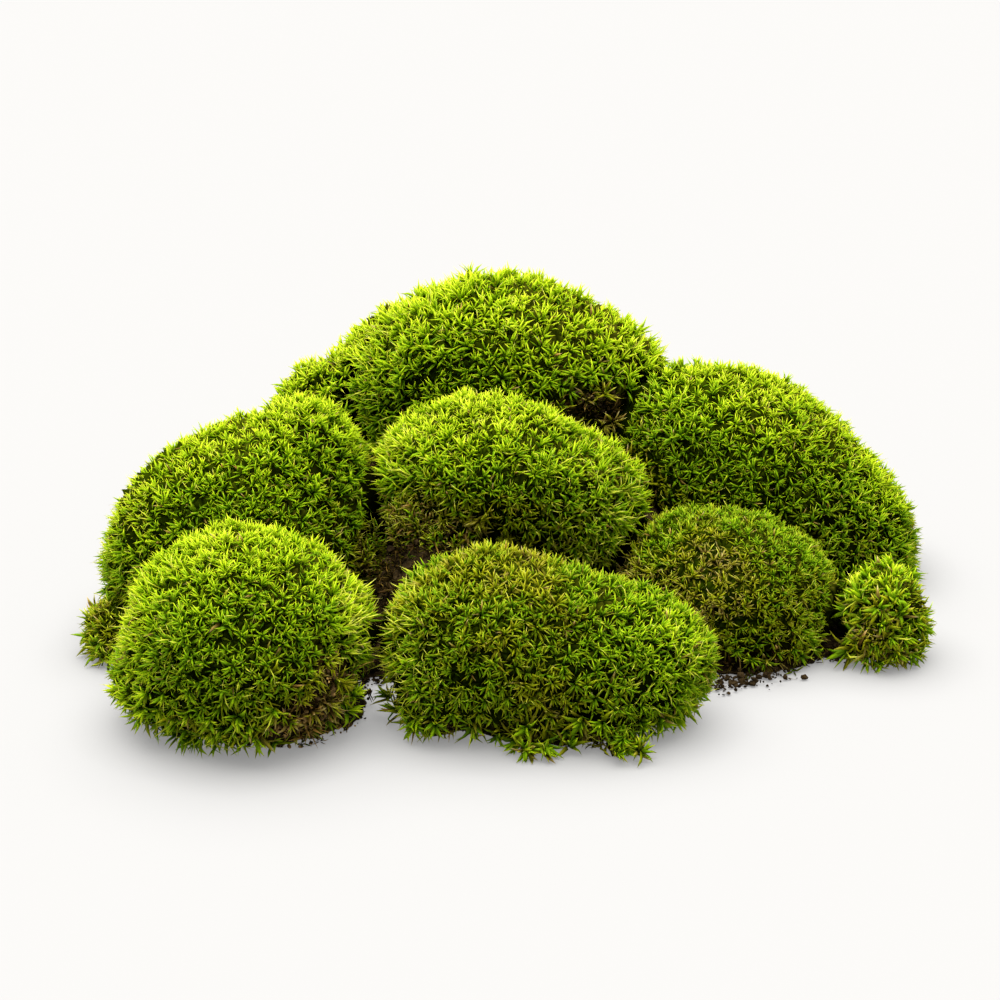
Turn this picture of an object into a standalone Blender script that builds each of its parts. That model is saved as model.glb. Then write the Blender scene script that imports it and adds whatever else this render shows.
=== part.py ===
"""A moss clump: ten cushions of moss that grew together over a low mound of soil.

Units are metres, +Z is up and the clump rests on z = 0. It is seen from the
front along +Y, with +X to the right. The origin is at the middle of its foot.
"""

import bmesh
import bpy
import numpy as np
from mathutils import Vector, noise

# ---------------------------------------------------------------- dimensions

MM = 0.001
GAP = 0.0003                # clear space kept between touching pieces
BLEND = 9.0                 # how sharply the lobes of one cushion meet
SPLITS = 6                  # each edge of an icosahedron's, on a full cushion
MIDDLING_SPLITS = 5         # on a middling one
SMALL_SPLITS = 4            # on a small tuft
SOIL_SPLITS = 3             # on a lobe of soil

LUMP_HEIGHT = 1.9 * MM      # broad swellings of a cushion
LUMP_SPACING = 17.0 * MM
TUFT_HEIGHT = 1.5 * MM      # the separate shoot heads
TUFT_SPACING = 4.5 * MM
CRUMB_HEIGHT = 1.6 * MM     # clods on the soil
CRUMB_SPACING = 9.0 * MM
GROUND_SIZE = (0.6, 0.6, 0.1)

CENTRE_SHIFT = (-5.6 * MM, -5.9 * MM)   # moves the whole clump over the origin

# Each cushion is a few lobes, ((x, y, z), (half width, half depth, half
# height)) in millimetres, that swell into one another. A cushion is pressed
# back by those listed before it.
CUSHIONS = {
    "front_left_cushion": (
        ((-77, -71, 28), (39, 39, 35.5)),
        ((-49, -65, 27), (13, 16, 17)),
        ((-100, -69, 15), (20.5, 24, 16)),
    ),
    "front_cushion": (
        ((0, -67.5, 24), (39.5, 31, 32)),
        ((36, -69, 20), (32.5, 27, 24.5)),
        ((9, -93.5, 3), (7, 6, 5.5)),
        ((36, -95, 3), (7, 7, 6)),
        ((-22, -79, 6), (11, 12, 9)),
    ),
    "small_right_cushion": (
        ((123.5, -23, 13.5), (16.5, 17, 20)),
    ),
    "middle_right_cushion": (
        ((77, -11, 13), (34, 30, 32)),
        ((58, -9, 20), (22, 24, 24)),
    ),
    "left_foot_tuft": (
        ((-122, -22, 8), (13.5, 13, 13.5)),
    ),
    "left_cushion": (
        ((-86, -2, 24), (46, 42, 48)),
        ((-64.5, 10, 38), (27, 34, 40)),
    ),
    "centre_cushion": (
        ((-5, 5, 50.5), (37.5, 33, 28.5)),
        ((25, 5.5, 39), (25.5, 27, 27)),
    ),
    "back_right_cushion": (
        ((80, 50, 28), (46, 40, 44.5)),
        ((108, 46, 10), (39.5, 34, 35.5)),
        ((60, 52, 48), (26, 30, 25)),
    ),
    "back_cushion": (
        ((0.5, 70, 57), (54, 42, 44)),
        ((38, 68, 53), (26, 30, 29)),
        ((3, 84, 28), (46, 38, 36)),
    ),
    "back_left_cushion": (
        ((-50, 84, 26), (33, 32, 37)),
        ((-31, 87, 54), (26.5, 26, 33.5)),
        ((-63, 80, 43), (20, 20, 23)),
        ((-40, 94, 42), (26, 24, 30)),
    ),
}

# The cushions made of fewer and larger faces, with their splits.
FEWER_SPLITS = {
    "small_right_cushion": SMALL_SPLITS,
    "left_foot_tuft": SMALL_SPLITS,
    "middle_right_cushion": MIDDLING_SPLITS,
    "back_left_cushion": MIDDLING_SPLITS,
}

# Lobes of the soil mound, in the same form.
SOIL_LOBES = (
    ((4, 48, 0), (84, 60, 50)),
    ((-72, 4, 0), (44, 38, 28)),
    ((-74, -62, 0), (34, 28, 16)),
    ((-61, -74, 8), (11, 13, 21)),
    ((-57, -62, 12), (9, 13, 22)),
    ((16, -59, 0), (43, 29, 12)),
    ((-22, -18, 0), (22, 24, 42)),
    ((24, -26, 0), (46, 24, 15)),
    ((-46, -28, 0), (25, 15, 20)),
    ((-78, 50, 0), (30, 30, 20)),
    ((76, -12, 0), (33, 28, 12)),
    ((112, -14, 0), (22, 14, 10)),
)

COLOURS = {
    "front_left_cushion": (0.20, 0.34, 0.03),
    "front_cushion": (0.19, 0.29, 0.03),
    "small_right_cushion": (0.21, 0.33, 0.04),
    "middle_right_cushion": (0.16, 0.22, 0.03),
    "left_foot_tuft": (0.20, 0.23, 0.04),
    "left_cushion": (0.14, 0.25, 0.03),
    "centre_cushion": (0.22, 0.35, 0.05),
    "back_right_cushion": (0.15, 0.26, 0.03),
    "back_cushion": (0.15, 0.31, 0.03),
    "back_left_cushion": (0.21, 0.32, 0.07),
    "soil": (0.07, 0.045, 0.022),
}


# -------------------------------------------------------------------- tools

def clear_scene():
    for old in list(bpy.data.objects):
        bpy.data.objects.remove(old, do_unlink=True)


def collection(name):
    group = bpy.data.collections.new(name)
    bpy.context.scene.collection.children.link(group)
    return group


def material(name, colour, roughness):
    mat = bpy.data.materials.new(name)
    mat.use_nodes = True
    shader = mat.node_tree.nodes["Principled BSDF"]
    shader.inputs["Base Color"].default_value = (*colour, 1.0)
    shader.inputs["Roughness"].default_value = roughness
    shader.inputs["Metallic"].default_value = 0.0
    return mat


def reach(directions, lobes):
    """How far the blended lobes reach from the first lobe's centre, in metres."""
    start = np.array(lobes[0][0], float)
    longest = max(
        np.linalg.norm(np.subtract(centre, start)) + max(size) for centre, size in lobes
    )
    steps = np.linspace(0.0, longest * 1.15, 160)
    points = start + directions[:, None, :] * steps[None, :, None]
    fill = np.zeros(points.shape[:2])
    for centre, size in lobes:
        inside = np.linalg.norm((points - np.array(centre)) / np.array(size), axis=2)
        fill += np.exp(BLEND * (1.0 - inside))
    outermost = np.array([np.flatnonzero(row > 1.0)[-1] for row in fill])
    rows = np.arange(len(directions))
    near, far = fill[rows, outermost], fill[rows, outermost + 1]
    part = (near - 1.0) / (near - far)
    return (steps[outermost] + part * (steps[1] - steps[0])) * MM


def lumpy(point, seed):
    """The height of the swellings and shoot heads at a point of a cushion."""
    shift = Vector((seed * 7.3, seed * 3.1, seed * 5.7))
    broad = noise.noise(point / LUMP_SPACING + shift)
    heads = noise.noise(point / TUFT_SPACING + shift)
    return LUMP_HEIGHT * broad + TUFT_HEIGHT * heads


def ball(splits):
    """A unit sphere of even triangles, each edge of an icosahedron split."""
    bm = bmesh.new()
    bmesh.ops.create_icosphere(bm, subdivisions=1, radius=1.0)
    edges = bm.edges[:]
    bmesh.ops.subdivide_edges(bm, edges=edges, cuts=splits - 1, use_grid_fill=True)
    for vert in bm.verts:
        vert.co.normalize()
    return bm


def lobed_form(lobes, splits, seed, grow=0.0):
    """A sphere drawn out to its lobes, with lumps, its foot still rounded."""
    bm = ball(splits)
    start = Vector(lobes[0][0]) * MM
    directions = np.array([vert.co.normalized() for vert in bm.verts])
    lengths = reach(directions, lobes)
    for vert, length in zip(bm.verts, lengths):
        vert.co = start + vert.co.normalized() * float(length)
    bm.normal_update()
    moves = [vert.normal * (lumpy(vert.co, seed) + grow) for vert in bm.verts]
    for vert, move in zip(bm.verts, moves):
        vert.co += move
    return bm


def cut_flat(bm):
    """Cuts off what lies below the ground and closes the cut."""
    everything = bm.verts[:] + bm.edges[:] + bm.faces[:]
    cut = bmesh.ops.bisect_plane(
        bm,
        geom=everything,
        dist=1e-6,
        plane_co=(0.0, 0.0, 0.0),
        plane_no=(0.0, 0.0, 1.0),
        clear_inner=True,
    )
    edges = [item for item in cut["geom_cut"] if isinstance(item, bmesh.types.BMEdge)]
    bmesh.ops.contextual_create(bm, geom=edges)
    bmesh.ops.recalc_face_normals(bm, faces=bm.faces)


def add_object(name, bm, group):
    mesh = bpy.data.meshes.new(name)
    bmesh.ops.translate(bm, vec=(*CENTRE_SHIFT, 0.0), verts=bm.verts)
    bm.to_mesh(mesh)
    bm.free()
    item = bpy.data.objects.new(name, mesh)
    group.objects.link(item)
    return item


def add_cutter(name, bm, group):
    cutter = add_object(name + "_cutter", bm, group)
    cutter.hide_render = True
    cutter.display_type = "WIRE"
    return cutter


def boolean(item, other, operation):
    step = item.modifiers.new(operation.lower() + "_" + other.name, "BOOLEAN")
    step.operation = operation
    step.solver = "EXACT"
    step.object = other
    return step


# ------------------------------------------------------------------- pieces

def overlap(one, two):
    """Whether the boxes round two objects' meshes share some space."""
    low_one = np.min([corner[:] for corner in one.bound_box], axis=0)
    high_one = np.max([corner[:] for corner in one.bound_box], axis=0)
    low_two = np.min([corner[:] for corner in two.bound_box], axis=0)
    high_two = np.max([corner[:] for corner in two.bound_box], axis=0)
    return bool(np.all(low_one < high_two) and np.all(low_two < high_one))


def soil_lobe(lobe, grow=0.0):
    """One lump of soil."""
    centre, size = lobe
    bm = ball(SOIL_SPLITS)
    bmesh.ops.scale(bm, vec=Vector(size) * MM, verts=bm.verts)
    bmesh.ops.translate(bm, vec=Vector(centre) * MM, verts=bm.verts)
    bm.normal_update()
    moves = []
    for vert in bm.verts:
        clod = noise.noise(vert.co / CRUMB_SPACING)
        moves.append(vert.normal * (CRUMB_HEIGHT * clod + grow))
    for vert, move in zip(bm.verts, moves):
        vert.co += move
    return bm


def make_ground(cutters):
    """A block under z = 0 that cuts the soil flat."""
    bm = bmesh.new()
    bmesh.ops.create_cube(bm, size=1.0)
    bmesh.ops.scale(bm, vec=GROUND_SIZE, verts=bm.verts)
    bmesh.ops.translate(bm, vec=(0.0, 0.0, -GROUND_SIZE[2] / 2), verts=bm.verts)
    return add_cutter("ground", bm, cutters)


def make_soil(name, parts, cutters, grow=0.0):
    """The mound: lumps of soil run together."""
    soil = add_object(name, soil_lobe(SOIL_LOBES[0], grow), parts)
    for number, lobe in enumerate(SOIL_LOBES[1:]):
        lump = add_cutter("%s_lump_%d" % (name, number), soil_lobe(lobe, grow), cutters)
        boolean(soil, lump, "UNION")
    return soil


def main():
    clear_scene()
    parts = collection("moss_clump")
    cutters = collection("cutters")
    soil = make_soil("soil", parts, cutters)
    boolean(soil, make_ground(cutters), "DIFFERENCE")
    soil.data.materials.append(material("soil", COLOURS["soil"], 0.95))
    bed = make_soil("soil_cutter", cutters, cutters, GAP)
    bed.hide_render = True
    bed.display_type = "WIRE"
    placed = []
    for seed, (name, lobes) in enumerate(CUSHIONS.items()):
        splits = FEWER_SPLITS.get(name, SPLITS)
        bm = lobed_form(lobes, splits, seed)
        cut_flat(bm)
        item = add_object(name, bm, parts)
        item.data.materials.append(material(name, COLOURS[name], 0.8))
        boolean(item, bed, "DIFFERENCE")
        for earlier in placed:
            if overlap(item, earlier):
                boolean(item, earlier, "DIFFERENCE")
        grown = lobed_form(lobes, splits, seed, grow=GAP)
        placed.append(add_cutter(name, grown, cutters))
    for item in parts.objects:
        item.data.shade_flat()


if __name__ == "__main__":
    main()
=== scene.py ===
"""Dresses the moss clump: leafy shoots on every cushion, crumbly soil, litter and a studio."""

import math
from collections import namedtuple

import bmesh
import bpy
import numpy as np
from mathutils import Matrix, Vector, noise
from mathutils.bvhtree import BVHTree


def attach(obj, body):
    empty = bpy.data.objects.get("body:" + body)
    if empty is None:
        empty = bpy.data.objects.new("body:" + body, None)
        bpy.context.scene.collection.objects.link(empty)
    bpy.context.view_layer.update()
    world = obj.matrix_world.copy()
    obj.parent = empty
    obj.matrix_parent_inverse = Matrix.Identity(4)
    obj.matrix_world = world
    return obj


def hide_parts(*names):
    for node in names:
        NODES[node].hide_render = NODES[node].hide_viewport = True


bl_info = {
    "name": "Moss Clump",
    "version": (1, 0, 0),
    "blender": (4, 5, 0),
    "location": "3D View > Sidebar > Moss",
    "description": "Grows leafy moss cushions on a bed of soil",
    "category": "Add Mesh",
}

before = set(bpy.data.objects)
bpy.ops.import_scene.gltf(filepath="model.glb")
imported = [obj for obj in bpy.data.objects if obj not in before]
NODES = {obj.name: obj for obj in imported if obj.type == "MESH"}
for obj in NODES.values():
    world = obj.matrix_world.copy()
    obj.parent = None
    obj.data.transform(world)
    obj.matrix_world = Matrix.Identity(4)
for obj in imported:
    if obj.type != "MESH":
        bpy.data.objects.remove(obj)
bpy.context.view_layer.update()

MM = 0.001

# The solids' surfaces, in metres.
MERGE = 1e-6                # corners nearer than this are one
PROBE_LIFT = 0.00002        # a ray starts this far over the surface
COVER_REACH = 0.0025        # a triangle with another solid this near over it is covered
INSET_FOOT = 0.010          # up to this height a surface that is drawn in moves sideways too
SKY_RAYS = 14               # cast from a point to see how much of the sky is open over it
SKY_REACH = 0.08
SKY_LIFT = 0.0015
SKY_GROUND = 0.03           # a ray that meets the ground nearer than this is shut off

# A leaf is a closed three-sided blade.
PALETTE_MAP = "OFBake"      # across: the tone of a leaf; up: from its base to its tip, darker towards the base as painted shade
LEAF_STRIP = 0.012          # how much of the palette's width one leaf takes
BLADE_LEVELS = (0.0, 0.333, 0.667, 1.0)     # where a blade's rings lie on its sphere
BLADE_UPS = (0.0, 0.26, 0.68, 1.0)          # and up the blade
BLADE_HALVES = (0.0, 1.0, 0.68, 0.0)        # and how wide it is there
BLADE_THICKNESS = 0.36                      # as a share of its width
HOOK = 1.3                  # the higher, the more of a leaf's bend is near its tip
HAIR_LENGTH = 1.2           # of a leaf that ends in a pale hair, against the others
HAIR_WIDTH = 0.4
GOLDEN_ANGLE = math.pi * (3 - math.sqrt(5))
WITHERED_SHARE = 0.015      # of the leaves of a living shoot
FLOOR_CLEAR = 0.35 * MM     # leaves that would go through the ground lie this high at most

# The moss of a cushion.
CUSHION_SEED = 100
FOOT_HEIGHT = 0.012         # near the ground shoots grow longer and lean out more, in metres
EDGE_HEIGHT = 0.006         # and below this even the darkest places keep their shoots
DRIFT_SIZE = 0.014          # metres over which the tone drifts
HEART_SPACING = 2.3         # between the places shoots lean to, in shoot spacings
STAR_SPACING = 1.75         # between star shoots, in shoot spacings
HIDDEN = 0.05               # share of open sky below which nothing grows
DARK = 0.25                 # below which shoots are plain
DIM = 0.4                   # and below which their tone falls, as painted shade
THATCH_DEPTH = 1.15         # from the leaf tips, in leaf lengths
TUSSOCK_AREA = 9e-6         # of a thatch face that is raised to a point, in square metres
TUSSOCK_RISE = 0.42         # as a share of the thatch's depth
THATCH_LIFT = 0.0004        # of the thatch over the ground, in metres

# Worn moss and soil.
WORN_DEPTH = 4.2 * MM       # from the leaf tips to the soil under worn moss
WORN_DENSITY = 0.62         # spacing of crumbs and litter there, as a share of elsewhere
PIT_DEPTH = 7.5 * MM        # of the holes in it
PIT_SIZE = 0.0055
PIT_SHIFT = Vector((3.7, 1.2, 8.4))
RAGGED_SIZE = 0.004         # of the tatters at the edge of a worn place, in metres
DRY_CORNER = Vector((-57, -103, 12)) * MM   # where the soil has dried out and paled
DRY_REACH = 28.0 * MM
BED_CUTS = 5                # each edge of the soil that shows is cut this many times
CLOD_SIZE, CLOD_HEIGHT = 0.007, 0.0036      # metres
GRAIN_SIZE, GRAIN_HEIGHT = 0.0014, 0.0006
BED_DRIFT = 0.0014
CRUMB_SEED = 71
CRUMB_SIZE = 0.0011         # metres across, in the middle of the range
CRUMB_RANGE = (0.0004, 0.0028)
LITTER_SEED = 83
LITTER_LENGTH = 0.0038      # metres
ROOTLET_LENGTH = 0.009
STEM_LENGTH = 0.0042
STEM_SPACING = 0.0024

# The studio.
FLOOR_REACH = 12.0          # metres
FLOOR_DROP = 0.0002
CONTACT_REACH = 0.021       # of the shade on the floor close to the clump, in metres
CONTACT_SHADE = 0.45        # what is left of the floor's own light at the clump's foot
SKY_COLOUR = (1, 0.985, 0.955, 1)
SKY_STRENGTH = 0.60
SUN_STRENGTH = 9.4
SUN_COLOUR = (1.0, 0.98, 0.94)
SUN_SPREAD = math.radians(84)
SUN_TURN = (math.radians(-6), math.radians(-5), 0)
CAMERA_TARGET = Vector((-0.0056, -0.0061, 0.045))
SENSOR_WIDTH = 36.0

# Leaves in a spiral on a shoot: how many, the lean of the innermost and the
# outermost as a share of the shoot's splay, how high the innermost sits, the
# rings of a blade, the change of tone and how it fades outwards, how much of
# the palette's height they reach (less is darker; for the skirt under the
# leaves this is painted shade) and the share that end in a long pale hair.
Whorl = namedtuple("Whorl", "count inner outer seat rings tone fade shade hair")
HEART = Whorl(5, 0.08, 0.50, 0.36, 1, 0.03, 0.08, 1.0, 0.0)
CROWN = Whorl(7, 0.50, 1.10, 0.22, 2, 0.0, 0.08, 1.0, 0.04)
STAR = Whorl(14, 0.12, 1.1, 0.26, 2, 0.08, 0.46, 1.0, 0.02)
# The skirt's leaves stop lower on the palette, darker as painted shade under the crown.
SKIRT = Whorl(4, 1.4, 2.3, 0.16, 1, -0.06, 0.08, 0.66, 0.0)
SHADED = Whorl(9, 0.20, 1.4, 0.30, 1, 0.0, 0.08, 1.0, 0.0)
STEM = Whorl(22, 0.40, 1.0, 2.6, 2, 0.05, 0.45, 1.0, 0.2)
WITHERED = Whorl(7, 0.60, 1.9, 0.30, 2, 0.0, 0.20, 1.0, 0.0)
FLAKE = Whorl(3, 0.90, 2.0, 0.10, 2, 0.0, 0.0, 1.0, 0.0)
ROOTLET = Whorl(1, 1.0, 1.8, 0.05, 4, 0.0, 0.0, 1.0, 0.0)

# Tones across the palette.
THATCH = 0.03
DEAD = 0.14
STRAW = 0.26
OLIVE = 0.42
DEEP = 0.60
LIME = 0.78
PALE = 0.92
HAIR = 0.985

# How a cushion's moss grows: leaf length and shoot spacing in mm, how far the leaves lean
# out in degrees, tone and how far it wanders, the height in mm up to which shoots stand
# apart as stars, and patches ((x, y, z), reach, change of tone, growth), in mm. Growth
# above zero lengthens the leaves, and below zero it sinks the shoots instead.
Look = namedtuple("Look", "leaf spacing splay tone wander star_height patches")
LOOKS = {
    "front_left_cushion": Look(
        4.7, 3.0, 27, 0.70, 0.09, 20,
        (
            ((-86, -76, 64), 30, 0.03, 0.0), ((-80, -112, 40), 28, -0.07, 0.0),
            ((-58, -104, 16), 16, -0.26, 0.1), ((-46, -92, 34), 12, 0.1, 0.4),
            ((-42, -77, 43), 13, 0.1, 0.6), ((-117, -84, 36), 18, 0.06, 0.4),
            ((-104, -98, 3), 12, 0.0, 0.15), ((-76, -112, 3), 13, 0.0, -0.3),
            ((-86, -114, 10), 20, -0.08, 0.1), ((-118, -88, 7), 12, 0.0, -0.5),
        ),
    ),
    "front_cushion": Look(
        4.7, 3.0, 31, 0.52, 0.09, 10,
        (
            ((-4, -74, 57), 27, -0.26, 0.05), ((-24, -100, 28), 20, 0.08, 0.0),
            ((-8, -101, 3), 13, 0.0, -0.5), ((-33, -89, 3), 12, 0.0, -0.5),
            ((36, -95, 34), 26, 0.13, 0.05), ((-39, -86, 24), 13, 0.05, 0.45),
            ((-40, -76, 42), 11, 0.05, 0.55), ((-34, -86, 14), 12, 0.06, 0.4),
            ((54, -88, 22), 16, 0.1, 0.2), ((6, -102, 14), 22, -0.02, 0.05),
            ((52, -88, 4), 12, 0.0, -0.4),
        ),
    ),
    "small_right_cushion": Look(
        5.5, 2.9, 36, 0.50, 0.12, 60,
        (
            ((127, -33, 26), 12, 0.0, -0.5), ((102, -34, 34), 12, 0.04, 0.1),
            ((110, -40, 8), 12, -0.08, 0.0), ((97, -36, 12), 10, 0.0, 0.3),
        ),
    ),
    "middle_right_cushion": Look(
        3.6, 2.6, 30, 0.44, 0.08, 8,
        (
            ((61, -36, 38), 13, -0.26, 0.1), ((44, -30, 26), 14, 0.0, 0.3),
            ((92, -30, 26), 20, 0.1, 0.0), ((95, -37, 9), 10, 0.04, 0.4),
        ),
    ),
    "left_foot_tuft": Look(
        4.6, 3.1, 38, 0.42, 0.10, 8, (((-134, -30, 8), 12, 0.0, 0.35),),
    ),
    "left_cushion": Look(
        4.8, 3.2, 30, 0.62, 0.08, 0,
        (
            ((-73, 2, 77), 32, 0.14, 0.0), ((-125, -20, 40), 24, 0.22, 0.25),
            ((-100, -4, 72), 26, 0.04, -0.15), ((-124, -10, 48), 24, 0.0, -0.5),
            ((-90, -40, 50), 26, -0.03, 0.0), ((-50, -26, 22), 18, -0.1, -0.35),
            ((-120, -30, 14), 22, -0.22, 0.0), ((-82, 6, 74), 12, 0.0, -0.3),
            ((-134, -8, 16), 13, 0.0, 0.35),
        ),
    ),
    "centre_cushion": Look(
        4.8, 3.0, 32, 0.71, 0.08, 0,
        (
            ((-34, -27, 42), 16, -0.42, 0.3), ((-22, 0, 77), 28, 0.06, 0.0),
            ((28, -16, 59), 16, -0.02, 0.3), ((34, -24, 38), 18, -0.06, 0.35),
            ((-42, -10, 60), 14, 0.12, 0.35), ((-8, -34, 38), 26, -0.2, 0.1),
            ((-5, -28, 55), 22, -0.02, 0.0),
        ),
    ),
    "back_right_cushion": Look(
        4.7, 3.2, 31, 0.58, 0.10, 0,
        (
            ((90, 38, 70), 36, 0.22, 0.0), ((110, 34, 62), 22, 0.0, -0.2),
            ((126, 36, 40), 24, 0.14, 0.1), ((45, 30, 60), 16, -0.06, 0.15),
            ((118, 26, 22), 20, -0.1, 0.1), ((133, 38, 28), 12, 0.0, -0.4),
            ((138, 38, 3), 14, 0.0, -0.6),
        ),
    ),
    "back_cushion": Look(
        5.9, 3.7, 34, 0.73, 0.07, 0,
        (
            ((28, 28, 63), 13, -0.38, 0.0), ((44, 36, 66), 10, -0.1, 0.0),
            ((-46, 48, 60), 20, -0.06, 0.1), ((38, 36, 80), 20, 0.1, 0.0),
            ((30, 60, 94), 28, 0.0, -0.25), ((-44, 56, 80), 16, 0.0, -0.2),
            ((-40, 70, 90), 24, 0.0, 0.35), ((50, 66, 73), 14, 0.0, 0.3),
        ),
    ),
    "back_left_cushion": Look(
        5.6, 3.6, 34, 0.78, 0.08, 0, (((-68, 80, 67), 12, 0.0, 0.3),),
    ),
}

# Where a cushion has worn down to soil and dead stems: (x, y, z) and reach, in mm.
BARE = {
    "front_left_cushion": (
        ((-67, -108, 6), 9), ((-58, -103, 12), 12), ((-51, -98, 18), 11), ((-56, -98, 26), 9),
    ),
    "front_cushion": (((-20, -97, 1), 5), ((20, -101, 1), 6), ((54, -92, 2), 5)),
    "centre_cushion": (((-37, -24, 42), 8), ((-29, -31, 40), 7), ((-20, -33, 38), 5)),
    "left_cushion": (((-43, -15, 32), 8),),
    "back_cushion": (((20, 28, 64), 5), ((28, 29, 62), 7), ((37, 31, 62), 7)),
    "middle_right_cushion": (((66, -42, 2), 7), ((84, -43, 2), 5)),
}

# Star shoots that stand loose at a cushion's foot, in mm.
FOOT_STARS = {
    "front_cushion": (
        (-41, -70, 5), (-38, -79, 4), (37, -103, 2), (30, -104, 2), (16, -98.5, 2), (8, -103, 2),
        (2, -102, 2),
    ),
    "front_left_cushion": (
        (-104, -92, 3), (-97, -97, 3), (-91, -99, 3), (-73, -98, 3), (-48.5, -88, 14),
        (-50.5, -89, 9),
    ),
    "left_foot_tuft": ((-135, -32, 3), (-137, -19, 10), (-130, -38, 3)),
}

# Soil that has spilt onto the ground: (x, y), spread across and along, in mm, and crumbs.
SPILT = (
    ((71, -48.5), (5.5, 1.8), 90), ((82, -47), (6, 1.2), 12), ((64, -53), (3.5, 2.2), 70),
    ((-45, -50), (4.5, 1.5), 50),
)

# Colours from the base of a leaf to its tip, for the tones across the palette. The near-black bases
# are painted shade down among the shoots; the pale tips are the leaves' own colour.
PALETTE = (
    # The thatch is near black: old growth, darkened further as painted shade in the depth between
    # the leaves.
    (THATCH, ((0.0, (0.004, 0.008, 0.0003)), (1.0, (0.060, 0.100, 0.001)))),
    (DEAD, (
        (0.0, (0.012, 0.006, 0.001)), (0.35, (0.085, 0.043, 0.009)),
        (0.75, (0.530, 0.310, 0.060)), (1.0, (0.960, 0.700, 0.230)),
    )),
    (STRAW, (
        (0.0, (0.020, 0.013, 0.003)), (0.35, (0.130, 0.090, 0.014)),
        (0.75, (0.360, 0.280, 0.060)), (1.0, (0.780, 0.680, 0.340)),
    )),
    (OLIVE, (
        (0.0, (0.022, 0.027, 0.001)), (0.30, (0.170, 0.190, 0.002)),
        (0.75, (0.410, 0.420, 0.005)), (1.0, (0.800, 0.770, 0.050)),
    )),
    (DEEP, (
        (0.0, (0.008, 0.032, 0.001)), (0.30, (0.085, 0.220, 0.002)),
        (0.75, (0.215, 0.400, 0.004)), (1.0, (0.640, 0.750, 0.030)),
    )),
    (LIME, (
        (0.0, (0.022, 0.070, 0.001)), (0.30, (0.180, 0.355, 0.003)),
        (0.75, (0.405, 0.600, 0.005)), (1.0, (0.870, 0.910, 0.026)),
    )),
    (PALE, (
        (0.0, (0.070, 0.140, 0.001)), (0.30, (0.340, 0.510, 0.005)),
        (0.75, (0.620, 0.770, 0.012)), (1.0, (0.980, 0.960, 0.080)),
    )),
    (HAIR, (
        (0.0, (0.080, 0.120, 0.003)), (0.30, (0.400, 0.490, 0.020)),
        (0.75, (0.780, 0.810, 0.080)), (1.0, (0.960, 0.940, 0.320)),
    )),
)


# ------------------------------------------------------------ settings

def number_property(name, description, default, low, high, **kind):
    """A property for a number between two limits."""
    return bpy.props.FloatProperty(
        name=name, description=description, default=default, min=low, max=high, **kind,
    )


def factor_property(name, description, default, low=0.0, high=1.0):
    """A property for a share."""
    return number_property(name, description, default, low, high, subtype="FACTOR")


def length_property(name, description, default, low, high):
    """A property for a length in metres."""
    kind = {"subtype": "DISTANCE", "unit": "LENGTH"}
    return number_property(name, description, default, low, high, **kind)


def angle_property(name, description, default, high):
    """A property for an angle from zero up."""
    kind = {"subtype": "ANGLE", "unit": "ROTATION"}
    return number_property(name, description, math.radians(default), 0.0, high, **kind)


def colour_property(name, description, default):
    """A property for a colour."""
    return bpy.props.FloatVectorProperty(
        name=name, description=description, default=default, size=3, min=0.0, max=1.0,
        subtype="COLOR",
    )


class MossLook(bpy.types.PropertyGroup):
    """How one cushion's moss grows."""

    node: bpy.props.StringProperty(name="Cushion", description="The cushion's solid")
    leaf_length: length_property("Leaf length", "Length of a full leaf", 0.005, 0.001, 0.02)
    spacing: length_property(
        "Shoot spacing", "Distance between neighbouring shoots", 0.0035, 0.001, 0.02,
    )
    splay: angle_property(
        "Splay", "How far the outer leaves of a shoot lean out", 30, math.pi / 2,
    )
    tone: factor_property("Tone", "From dead brown through olive to lime green", 0.7)
    wander: factor_property("Tone wander", "How far the tone drifts over the cushion", 0.1, 0.0, 0.5)
    star_height: length_property(
        "Star height", "Up to where the shoots stand apart as stars", 0.0, 0.0, 0.1,
    )


class MossSettings(bpy.types.PropertyGroup):
    """Sizes and colours shared by the whole clump."""

    leaf_width: factor_property(
        "Leaf width", "Width of a leaf as a share of its length", 0.178, 0.05, 0.5,
    )
    leaf_curl: angle_property("Leaf curl", "How far a leaf bends from base to tip", 70.0, math.pi)
    leaf_roughness: factor_property("Leaf roughness", "Roughness of the leaves", 0.5)
    leaf_gloss: factor_property("Leaf gloss", "Specular level of the leaves", 0.06)
    leaf_glow: factor_property("Leaf glow", "Share of light that passes through a leaf", 0.50)
    soil_colour: colour_property("Soil", "Colour of the soil", (0.160, 0.100, 0.035))
    crumb_spacing: length_property(
        "Crumb spacing", "Distance between crumbs on the soil", 0.0021, 0.0005, 0.01,
    )
    litter_spacing: length_property(
        "Litter spacing", "Distance between dead shoots on the soil", 0.0033, 0.001, 0.02,
    )
    floor_colour: colour_property("Floor", "Colour of the floor", (0.140, 0.140, 0.1405))
    floor_glow: number_property(
        "Floor glow", "Strength of the floor's own light", 0.480, 0.0, 10.0,
    )
    camera_lens: number_property(
        "Lens", "Focal length of the camera", 100.0, 10.0, 500.0,
        subtype="DISTANCE_CAMERA", unit="CAMERA",
    )
    camera_distance: length_property("Distance", "From the camera to the clump", 0.90, 0.1, 10.0)
    camera_height: angle_property("Elevation", "How far the camera looks down", 22.0, math.pi / 2)


# ------------------------------------------------------------ the solids' surfaces

def merged_copy(name):
    """A bmesh of one solid's triangles, with the corners they share merged."""
    bm = bmesh.new()
    bm.from_mesh(NODES[name].data)
    bmesh.ops.remove_doubles(bm, verts=bm.verts, dist=MERGE)
    bmesh.ops.triangulate(bm, faces=bm.faces)
    bm.verts.ensure_lookup_table()
    bm.faces.ensure_lookup_table()
    return bm


def points_and_faces(bm):
    """The places of a bmesh's corners, and the corners of its triangles."""
    points = np.array([vert.co for vert in bm.verts])
    faces = np.array([[vert.index for vert in face.verts] for face in bm.faces])
    return points, faces


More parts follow.
